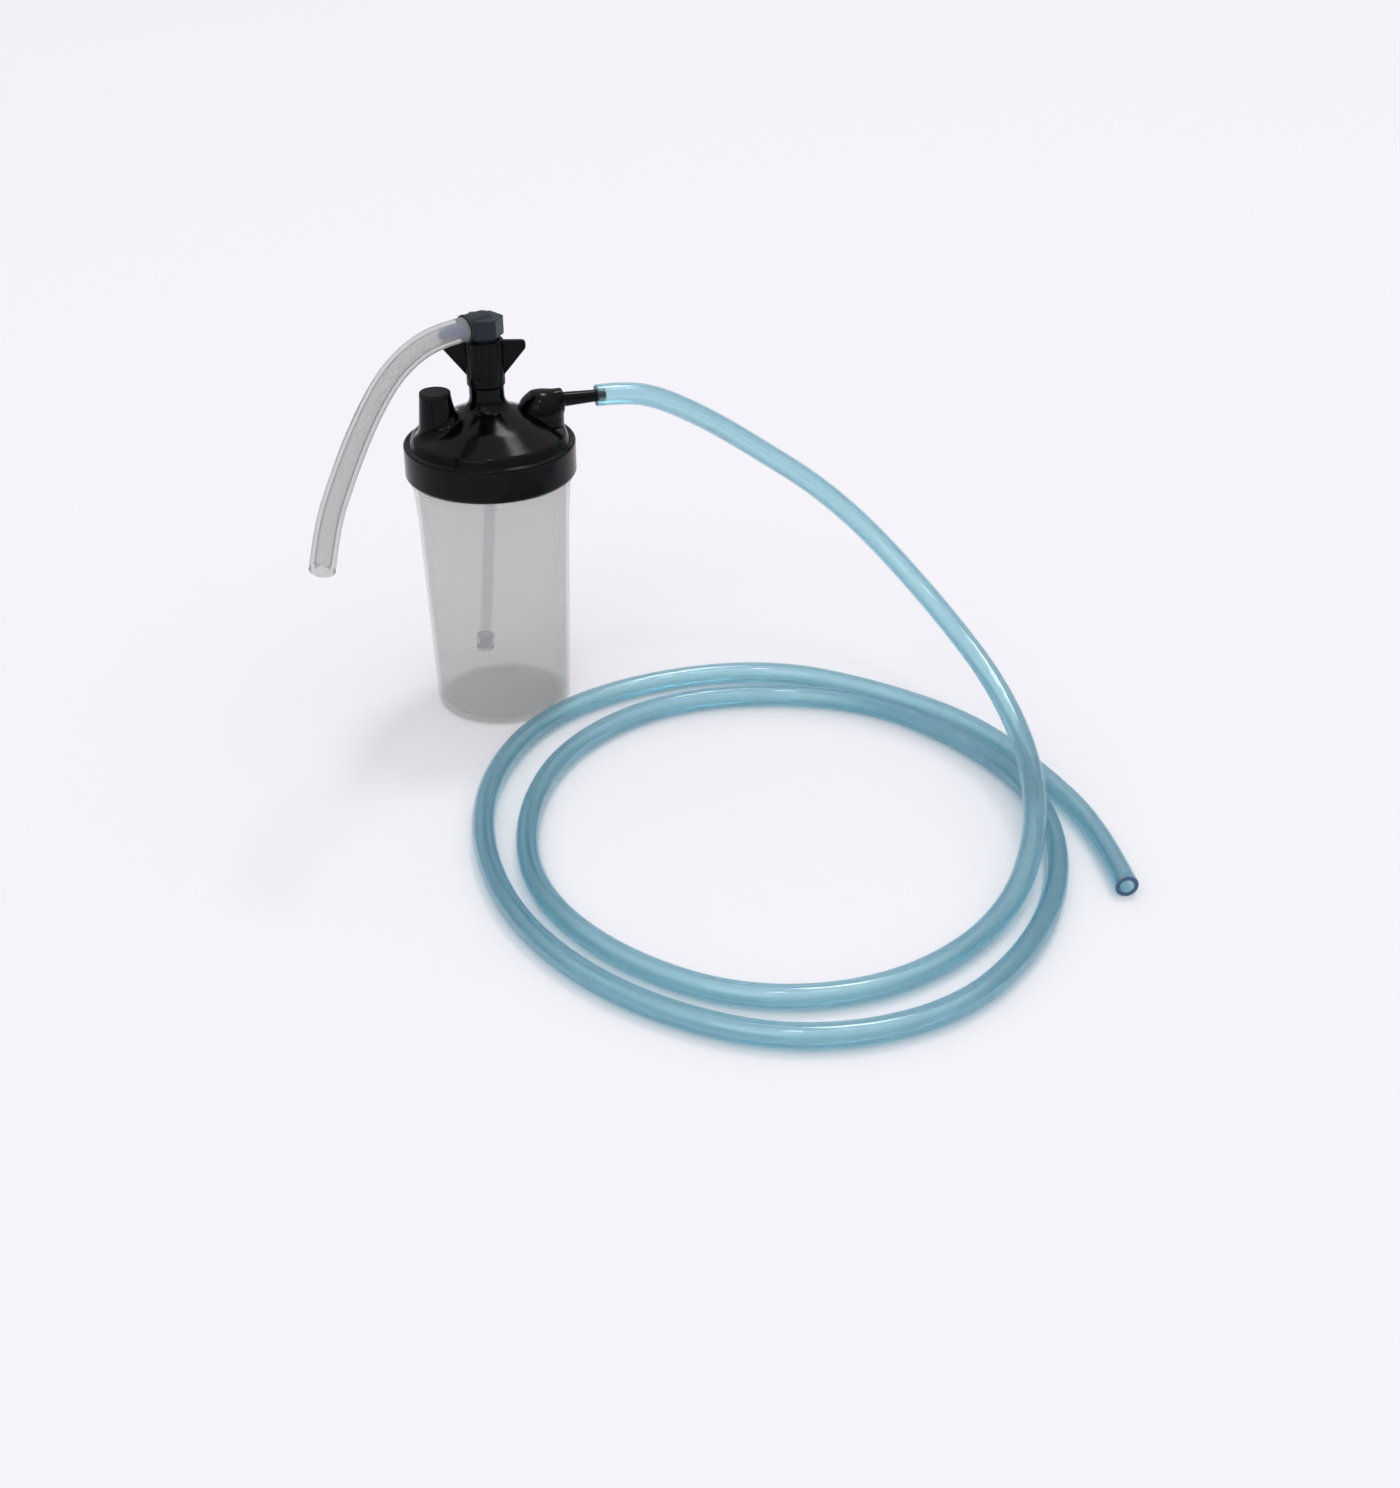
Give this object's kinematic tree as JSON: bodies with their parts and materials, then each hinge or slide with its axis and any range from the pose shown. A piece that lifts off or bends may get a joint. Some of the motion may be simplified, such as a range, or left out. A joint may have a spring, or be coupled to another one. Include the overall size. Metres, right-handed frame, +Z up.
{
  "type": "bubble humidifier bottle",
  "caption": "Screw-top humidifier jar with domed lid, relief valve, wing nut and hex elbow, a short supply hose and a long looped outlet hose.",
  "frame": {"origin": "centre of the jar's foot, on the surface it stands on", "axes": "+Z up along the jar's axis, +X out along the outlet nozzle, +Y towards the back"},
  "size_m": [0.3291, 0.3627, 0.201],
  "materials": {
    "jar_polypropylene": "translucent, satin",
    "gasket_rubber": "matt",
    "lid_black": "high gloss",
    "cap_black": "matt",
    "spring_steel": "drawn wire",
    "poppet_white": "satin",
    "dip_tube_clear": "clear, extruded",
    "diffuser_clear": "clear, moulded",
    "nipple_plated": "plated",
    "nut_black": "semi-gloss",
    "elbow_blue_grey": "satin, moulded",
    "collar_rubber": "satin",
    "barb_blue": "moulded",
    "hose_silicone": "translucent, satin",
    "hose_blue_pvc": "clear blue, glossy"
  },
  "bodies": {
    "jar": {"jar": "jar_polypropylene"},
    "lid_seal": {"lid_gasket": "gasket_rubber"},
    "lid": {"lid": "lid_black", "outlet_elbow": "lid_black", "outlet_nozzle": "lid_black", "relief_cap": "cap_black", "relief_spring": "spring_steel", "dip_tube": "dip_tube_clear", "diffuser": "diffuser_clear", "nipple_clip": "spring_steel", "outlet_hose": "hose_blue_pvc", "outlet_hose_end": "hose_blue_pvc"},
    "relief_valve": {"relief_poppet": "poppet_white", "relief_seal": "gasket_rubber"},
    "inlet": {"inlet_nipple": "nipple_plated", "nipple_o_ring": "gasket_rubber"},
    "nut": {"wing_nut": "nut_black"},
    "elbow": {"elbow_washer": "gasket_rubber", "elbow_fitting": "elbow_blue_grey", "barb_collar": "collar_rubber", "hose_barb": "barb_blue", "supply_hose": "hose_silicone", "supply_hose_end": "hose_silicone"}
  },
  "joints": [
    {"name": "lid_rise", "type": "slide", "parent": "jar", "child": "lid_seal", "axis": [0, 0, 1], "range_m": [0, 0.0042]},
    {"name": "lid_turn", "type": "hinge", "parent": "lid_seal", "child": "lid", "pos_m": [0, 0, 0.13], "axis": [0, 0, 1], "range_deg": [0, 360]},
    {"name": "relief_lift", "type": "slide", "parent": "lid", "child": "relief_valve", "axis": [0, 0, 1], "range_m": [0, 0.0022], "stiffness_N_per_m": 120, "springref_m": -0.004, "deforming": ["relief_spring"]},
    {"name": "inlet_swivel", "type": "hinge", "parent": "lid", "child": "inlet", "pos_m": [0, 0, 0.16], "axis": [0, 0, 1], "range_deg": [-40, 40]},
    {"name": "nut_turn", "type": "hinge", "parent": "inlet", "child": "nut", "pos_m": [0, 0, 0.175], "axis": [0, 0, -1], "range_deg": [0, 1800]},
    {"name": "elbow_rise", "type": "slide", "parent": "inlet", "child": "elbow", "axis": [0, 0, 1], "range_m": [0, 0.00705]}
  ],
  "couplings": [
    {"joint": "lid_rise", "follows": "lid_turn", "m_per_rad": 0.00063662},
    {"joint": "nut_turn", "follows": "elbow_rise", "rad_per_m": 4453}
  ]
}
